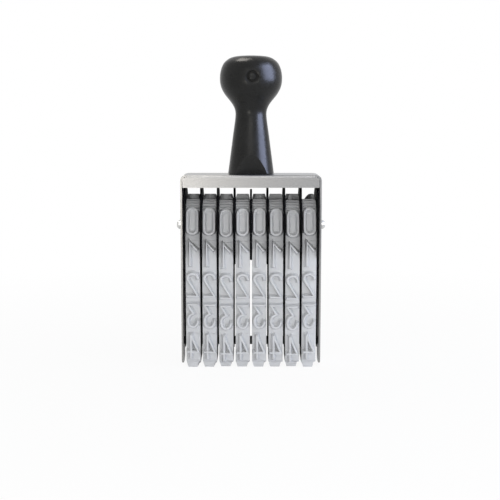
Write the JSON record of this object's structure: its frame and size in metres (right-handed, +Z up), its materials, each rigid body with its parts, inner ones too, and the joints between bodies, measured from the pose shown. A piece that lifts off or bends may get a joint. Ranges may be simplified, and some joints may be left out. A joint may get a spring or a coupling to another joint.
{
  "type": "numbering stamp",
  "caption": "Hand numbering stamp: rubber bands with raised mirrored numbers in a bent sheet frame, turned by thumb wheels, under a knob handle.",
  "frame": {"origin": "middle of the printing face, on the surface that the stamp stands on", "axes": "+Z up along the handle, +X across the bands, -Y towards the side from which the numbers are read"},
  "size_m": [0.0848, 0.0456, 0.1765],
  "materials": {
    "handle_plastic": "satin black moulding with a fine grain",
    "wheel_plastic": "glossy black",
    "foot_plastic": "plain pale grey",
    "band_rubber": "matte light grey",
    "zinc_sheet": "zinc plated, softly mottled",
    "bright_steel": "bright",
    "blackened_steel": "black",
    "brass": "turned"
  },
  "bodies": {
    "root": {"axle": "bright_steel", "axle_screw_left": "bright_steel", "axle_screw_right": "bright_steel", "axle_washer_left": "bright_steel", "axle_washer_right": "bright_steel", "divider_plate_1": "wheel_plastic", "divider_plate_2": "wheel_plastic", "divider_plate_3": "wheel_plastic", "divider_plate_4": "wheel_plastic", "divider_plate_5": "wheel_plastic", "divider_plate_6": "wheel_plastic", "divider_plate_7": "wheel_plastic", "divider_plate_8": "wheel_plastic", "foot_block_1": "foot_plastic", "foot_block_2": "foot_plastic", "foot_block_3": "foot_plastic", "foot_block_4": "foot_plastic", "foot_block_5": "foot_plastic", "foot_block_6": "foot_plastic", "foot_block_7": "foot_plastic", "foot_block_8": "foot_plastic", "foot_rod": "blackened_steel", "frame": "zinc_sheet", "handle": "handle_plastic", "handle_insert": "brass", "handle_lock_washer": "bright_steel", "handle_screw": "bright_steel", "middle_disc": "wheel_plastic", "number_band_1": "band_rubber", "number_band_2": "band_rubber", "number_band_3": "band_rubber", "number_band_4": "band_rubber", "number_band_5": "band_rubber", "number_band_6": "band_rubber", "number_band_7": "band_rubber", "number_band_8": "band_rubber"},
    "wheel_1": {"number_wheel_1": "wheel_plastic"},
    "wheel_2": {"number_wheel_2": "wheel_plastic"},
    "wheel_3": {"number_wheel_3": "wheel_plastic"},
    "wheel_4": {"number_wheel_4": "wheel_plastic"},
    "wheel_5": {"number_wheel_5": "wheel_plastic"},
    "wheel_6": {"number_wheel_6": "wheel_plastic"},
    "wheel_7": {"number_wheel_7": "wheel_plastic"},
    "wheel_8": {"number_wheel_8": "wheel_plastic"}
  },
  "joints": [
    {"name": "wheel_1_turn", "type": "hinge", "parent": "root", "child": "wheel_1", "pos_m": [-0.03276, 0, 0.081], "axis": [1, 0, 0], "continuous": true},
    {"name": "wheel_2_turn", "type": "hinge", "parent": "root", "child": "wheel_2", "pos_m": [-0.0234, 0, 0.081], "axis": [1, 0, 0], "continuous": true},
    {"name": "wheel_3_turn", "type": "hinge", "parent": "root", "child": "wheel_3", "pos_m": [-0.01404, 0, 0.081], "axis": [1, 0, 0], "continuous": true},
    {"name": "wheel_4_turn", "type": "hinge", "parent": "root", "child": "wheel_4", "pos_m": [-0.00468, 0, 0.081], "axis": [1, 0, 0], "continuous": true},
    {"name": "wheel_5_turn", "type": "hinge", "parent": "root", "child": "wheel_5", "pos_m": [0.00468, 0, 0.081], "axis": [1, 0, 0], "continuous": true},
    {"name": "wheel_6_turn", "type": "hinge", "parent": "root", "child": "wheel_6", "pos_m": [0.01404, 0, 0.081], "axis": [1, 0, 0], "continuous": true},
    {"name": "wheel_7_turn", "type": "hinge", "parent": "root", "child": "wheel_7", "pos_m": [0.0234, 0, 0.081], "axis": [1, 0, 0], "continuous": true},
    {"name": "wheel_8_turn", "type": "hinge", "parent": "root", "child": "wheel_8", "pos_m": [0.03276, 0, 0.081], "axis": [1, 0, 0], "continuous": true}
  ]
}
